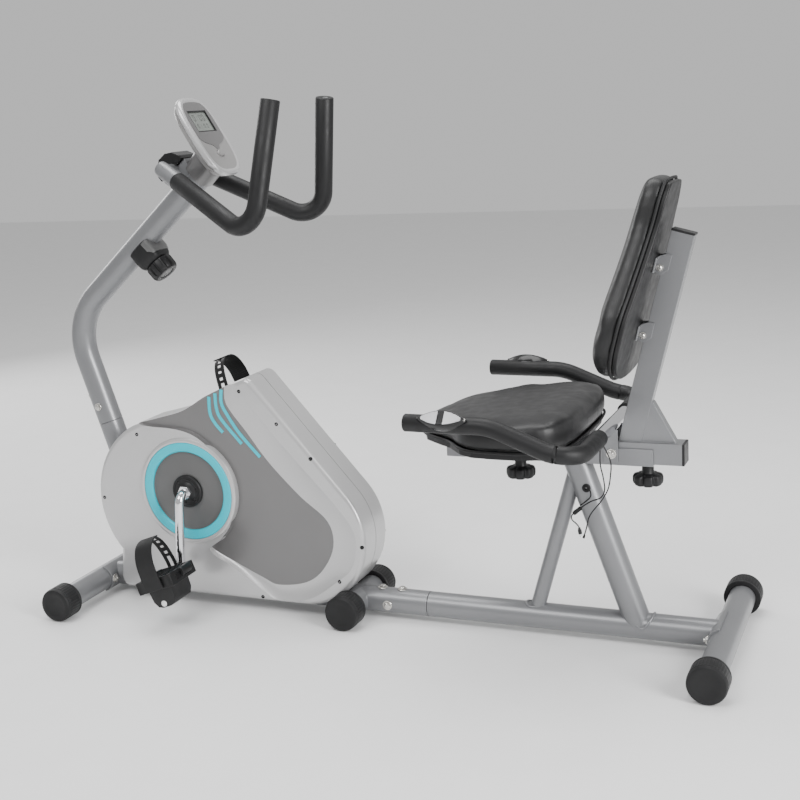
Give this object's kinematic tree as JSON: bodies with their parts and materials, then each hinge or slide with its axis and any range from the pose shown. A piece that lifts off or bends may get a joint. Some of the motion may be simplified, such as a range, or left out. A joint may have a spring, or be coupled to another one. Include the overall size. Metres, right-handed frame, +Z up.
{
  "type": "recumbent exercise bike",
  "caption": "Recumbent magnetic exercise bike: grey tube frame, silver housing with a blue ring, bucket seat and back pad, foam hand bars, small console, strapped pedals.",
  "frame": {"origin": "on the floor, in the middle of the overall box", "axes": "+X from the pedals towards the seat, +Y the rider's right, +Z up"},
  "size_m": [1.3881, 0.5256, 1.0325],
  "materials": {
    "frame": "satin metallic grey powder coat",
    "steel": "bright plated steel",
    "silver": "silver-sprayed moulded plastic",
    "cyan": "silver disc cover with a pale blue ring",
    "black": "matt black moulded plastic",
    "foam": "black foam sleeve",
    "leather": "dark grey leatherette over foam",
    "screen": "clear window over a dark display"
  },
  "bodies": {
    "root": {"front_frame": "frame", "inner_frame": "frame", "rear_frame": "frame", "rear_post": "frame", "seat_brace": "frame", "seat_rail": "frame", "front_stabiliser": "frame", "rear_stabiliser": "frame", "mast": "frame", "handlebar_clamp": "frame", "side_handlebar": "steel", "housing_left": "silver", "housing_right": "silver", "console_back": "silver", "console_bezel": "silver", "ring_left": "cyan", "ring_right": "cyan", "front_cap_left": "black", "front_cap_right": "black", "middle_cap_left": "black", "middle_cap_right": "black", "rear_cap_left": "black", "rear_cap_right": "black", "drive_belt": "black", "clamp_cover": "black", "tension_box": "black", "pulse_sensor_left": "black", "pulse_sensor_right": "black", "pulse_lead": "black", "loop_lead": "black", "post_lead": "black", "cord_tie": "black", "jack_plug": "black", "side_grip_left": "foam", "side_grip_right": "foam", "console_lens": "screen"},
    "crank_set": {"crank": "steel", "drive_pulley": "black", "hub_cover_left": "black", "hub_cover_right": "black"},
    "left_pedal": {"pedal_left": "black", "strap_left": "black"},
    "right_pedal": {"pedal_right": "black", "strap_right": "black"},
    "flywheel_body": {"flywheel": "steel"},
    "magnets": {"magnet_bracket": "steel"},
    "tension": {"tension_knob": "black"},
    "button": {"console_button": "black"},
    "handlebar": {"handlebar_tube": "black", "grip_left": "foam", "grip_right": "foam"},
    "seat": {"seat_carriage": "frame", "seat_board": "black", "seat_cushion": "leather"},
    "back": {"back_frame": "frame", "back_board": "black", "back_cushion": "leather"},
    "seat_clamp": {"seat_knob": "black"},
    "back_clamp": {"back_knob": "black"}
  },
  "joints": [
    {"name": "flywheel_spin", "type": "hinge", "parent": "root", "child": "flywheel_body", "pos_m": [-0.165, 0, 0.17], "axis": [0, 1, 0], "continuous": true},
    {"name": "crank_spin", "type": "hinge", "parent": "root", "child": "crank_set", "pos_m": [-0.412, 0, 0.2515], "axis": [0, 1, 0], "continuous": true},
    {"name": "left_pedal_spin", "type": "hinge", "parent": "crank_set", "child": "left_pedal", "pos_m": [-0.419, -0.155, 0.0995], "axis": [0, 1, 0], "continuous": true},
    {"name": "right_pedal_spin", "type": "hinge", "parent": "crank_set", "child": "right_pedal", "pos_m": [-0.405, 0.155, 0.4035], "axis": [0, 1, 0], "continuous": true},
    {"name": "magnet_swing", "type": "hinge", "parent": "root", "child": "magnets", "pos_m": [-0.106, 0, 0.272], "axis": [0, 1, 0], "range_deg": [0, 4.5]},
    {"name": "tension_turn", "type": "hinge", "parent": "root", "child": "tension", "pos_m": [-0.46732, 0, 0.71113], "axis": [0.6557, 0, -0.755], "range_deg": [0, 315]},
    {"name": "button_press", "type": "slide", "parent": "root", "child": "button", "axis": [-0.8602, 0, -0.51], "range_m": [0, 0.0015], "stiffness_N_per_m": 500, "springref_m": -0.001},
    {"name": "handlebar_tilt", "type": "hinge", "parent": "root", "child": "handlebar", "pos_m": [-0.3966, 0, 0.89506], "axis": [0, 1, 0], "range_deg": [-15, 15]},
    {"name": "seat_slide", "type": "slide", "parent": "root", "child": "seat", "axis": [1, 0, 0], "range_m": [-0.08, 0]},
    {"name": "back_slide", "type": "slide", "parent": "root", "child": "back", "axis": [1, 0, 0], "range_m": [0, 0.1]},
    {"name": "seat_knob_turn", "type": "hinge", "parent": "root", "child": "seat_clamp", "pos_m": [0.282, 0, 0.32], "axis": [0, 0, 1], "range_deg": [0, 720]},
    {"name": "back_knob_turn", "type": "hinge", "parent": "root", "child": "back_clamp", "pos_m": [0.5196, 0, 0.32], "axis": [0, 0, 1], "range_deg": [0, 720]}
  ],
  "couplings": [
    {"joint": "crank_spin", "follows": "flywheel_spin", "ratio": 0.16667},
    {"joint": "tension_turn", "follows": "magnet_swing", "ratio": 70}
  ]
}
